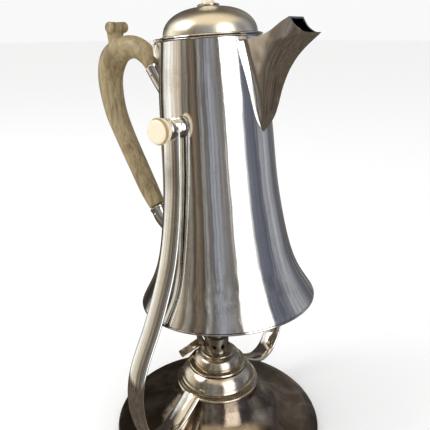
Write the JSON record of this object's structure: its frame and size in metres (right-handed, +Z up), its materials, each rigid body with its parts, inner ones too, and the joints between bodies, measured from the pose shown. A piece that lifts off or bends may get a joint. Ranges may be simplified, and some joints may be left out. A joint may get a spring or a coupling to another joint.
{
  "type": "coffee pot on stand",
  "caption": "Tapering metal coffee pot with wooden handle and V spout, hung by bone-headed pins between the arms of a round-footed stand over a spirit burner.",
  "frame": {"origin": "centre of the foot's flat underside, on the table", "axes": "+Z up, +X towards the spout, -Y towards the near trunnion; the pot is stored hanging, leaned back about 5 degrees"},
  "size_m": [0.1956, 0.1662, 0.3242],
  "materials": {
    "silver_plate": "polished silver plate with fine scratches",
    "worn_silver": "heat-worn silver plate with the golden base metal showing",
    "fruitwood": "pale carved fruitwood, satin",
    "bone": "turned bone, satin",
    "cotton": "plaited cotton wick"
  },
  "bodies": {
    "stand": {"arm_near": "silver_plate", "arm_far": "silver_plate", "foot": "silver_plate", "foot_rim": "silver_plate", "foot_cover": "worn_silver", "burner_collar": "worn_silver"},
    "pot": {"pot_body": "silver_plate", "pot_base": "silver_plate", "base_rim": "silver_plate", "mouth_rim": "silver_plate", "trunnion_boss_near": "silver_plate", "trunnion_boss_far": "silver_plate", "spout": "silver_plate", "handle": "fruitwood", "upper_socket": "silver_plate", "lower_socket": "silver_plate", "upper_socket_pin": "silver_plate", "lower_socket_pin": "silver_plate", "body_hinge": "silver_plate", "hinge_pin": "silver_plate"},
    "lid": {"lid_dome": "silver_plate", "lid_flange": "silver_plate", "lid_bezel": "silver_plate", "lid_hinge": "silver_plate", "finial_washer": "silver_plate", "finial": "bone", "finial_stud": "silver_plate", "finial_nut": "silver_plate"},
    "near_pin": {"trunnion_pin_near": "silver_plate", "bone_knob_near": "bone"},
    "far_pin": {"trunnion_pin_far": "silver_plate", "bone_knob_far": "bone"},
    "burner": {"burner_tank": "worn_silver", "burner_cap": "worn_silver", "wick_gallery": "worn_silver", "wick_tube": "worn_silver", "wick": "cotton", "snuffer_bracket": "worn_silver", "snuffer_pin": "worn_silver"},
    "snuffer": {"snuffer_cap": "worn_silver", "snuffer_lever": "worn_silver"}
  },
  "joints": [
    {"name": "pot_tilt", "type": "hinge", "parent": "stand", "child": "pot", "pos_m": [0, 0, 0.2282], "axis": [0, 1, 0], "range_deg": [-12, 80]},
    {"name": "lid_hinge", "type": "hinge", "parent": "pot", "child": "lid", "pos_m": [-0.04656, 0, 0.27941], "axis": [0, -1, 0], "range_deg": [0, 75]},
    {"name": "near_pin_pull", "type": "slide", "parent": "pot", "child": "near_pin", "axis": [0, -1, 0], "range_m": [0, 0.024]},
    {"name": "far_pin_pull", "type": "slide", "parent": "pot", "child": "far_pin", "axis": [0, 1, 0], "range_m": [0, 0.024]},
    {"name": "burner_lift", "type": "slide", "parent": "stand", "child": "burner", "axis": [0, 0, 1], "range_m": [0, 0.012]},
    {"name": "snuffer_hinge", "type": "hinge", "parent": "burner", "child": "snuffer", "pos_m": [-0.0176, 0, 0.0652], "axis": [0, 1, 0], "range_deg": [0, 224]}
  ]
}
